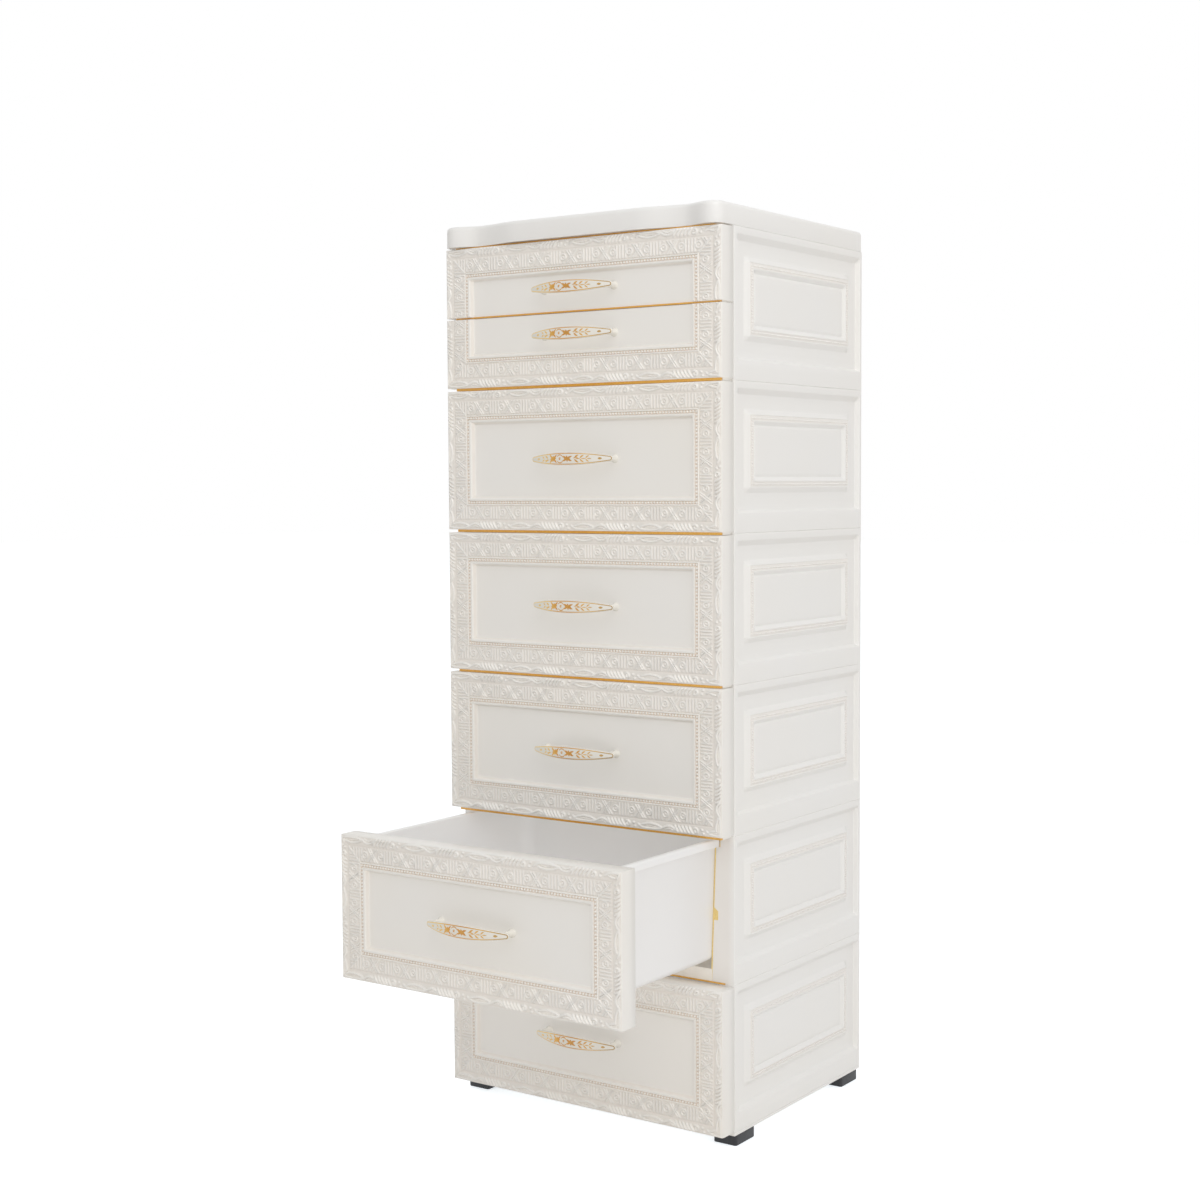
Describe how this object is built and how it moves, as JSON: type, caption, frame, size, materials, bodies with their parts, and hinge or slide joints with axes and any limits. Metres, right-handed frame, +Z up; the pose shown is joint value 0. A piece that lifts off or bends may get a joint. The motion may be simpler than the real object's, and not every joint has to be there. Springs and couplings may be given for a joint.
{
  "type": "drawer tower",
  "caption": "Tall narrow moulded tower of stacked drawers with carved-frame fronts and bowed handles; a pair of half-height drawers under the lid, one lower drawer standing open.",
  "frame": {"origin": "on the floor, at the middle of the box round everything as it stands, with one drawer open", "axes": "+Z up, -Y the way the drawers open, +X to the right-hand side as seen from behind the fronts (the viewer's right when facing them)"},
  "size_m": [0.38, 0.5458, 1.0355],
  "materials": {
    "casing": "white moulded polypropylene, satin sheen",
    "front": "white moulded polypropylene with fine carved relief, satin sheen",
    "tub": "smooth white moulded polypropylene",
    "inner": "white moulded polypropylene, slightly warm",
    "handle": "white gloss plastic with a gold foil outline and scrolls on its face",
    "foot": "black matte plastic",
    "screw": "zinc-plated steel"
  },
  "bodies": {
    "casing": {"lid": "casing", "base": "casing", "foot_1": "foot", "foot_2": "foot", "foot_3": "foot", "foot_4": "foot", "side_right_1": "casing", "side_left_1": "casing", "back_1": "inner", "side_right_2": "casing", "side_left_2": "casing", "back_2": "inner", "side_right_3": "casing", "side_left_3": "casing", "back_3": "inner", "side_right_4": "casing", "side_left_4": "casing", "back_4": "inner", "side_right_5": "casing", "side_left_5": "casing", "back_5": "inner", "side_right_6": "casing", "side_left_6": "casing", "back_6": "inner", "shelf_2": "inner", "shelf_3": "inner", "shelf_4": "inner", "shelf_5": "inner", "shelf_6": "inner"},
    "drawer_1": {"drawer_tub_1": "tub", "drawer_front_1": "front", "handle_1": "handle", "handle_screws_1": "screw"},
    "drawer_2": {"drawer_tub_2": "tub", "drawer_front_2": "front", "handle_2": "handle", "handle_screws_2": "screw"},
    "drawer_3": {"drawer_tub_3": "tub", "drawer_front_3": "front", "handle_3": "handle", "handle_screws_3": "screw"},
    "drawer_4": {"drawer_tub_4": "tub", "drawer_front_4": "front", "handle_4": "handle", "handle_screws_4": "screw"},
    "drawer_5": {"drawer_tub_5": "tub", "drawer_front_5": "front", "handle_5": "handle", "handle_screws_5": "screw"},
    "drawer_6": {"drawer_tub_6": "tub", "drawer_front_6": "front", "handle_6": "handle", "handle_screws_6": "screw"},
    "drawer_7": {"drawer_tub_7": "tub", "drawer_front_7": "front", "handle_7": "handle", "handle_screws_7": "screw"}
  },
  "joints": [
    {"name": "drawer_1_slide", "type": "slide", "parent": "casing", "child": "drawer_1", "axis": [0, -1, 0], "range_m": [0, 0.2294]},
    {"name": "drawer_2_slide", "type": "slide", "parent": "casing", "child": "drawer_2", "axis": [0, -1, 0], "range_m": [-0.194, 0.0354]},
    {"name": "drawer_3_slide", "type": "slide", "parent": "casing", "child": "drawer_3", "axis": [0, -1, 0], "range_m": [0, 0.2294]},
    {"name": "drawer_4_slide", "type": "slide", "parent": "casing", "child": "drawer_4", "axis": [0, -1, 0], "range_m": [0, 0.2294]},
    {"name": "drawer_5_slide", "type": "slide", "parent": "casing", "child": "drawer_5", "axis": [0, -1, 0], "range_m": [0, 0.2294]},
    {"name": "drawer_6_slide", "type": "slide", "parent": "casing", "child": "drawer_6", "axis": [0, -1, 0], "range_m": [0, 0.2294]},
    {"name": "drawer_7_slide", "type": "slide", "parent": "casing", "child": "drawer_7", "axis": [0, -1, 0], "range_m": [0, 0.2294]}
  ]
}
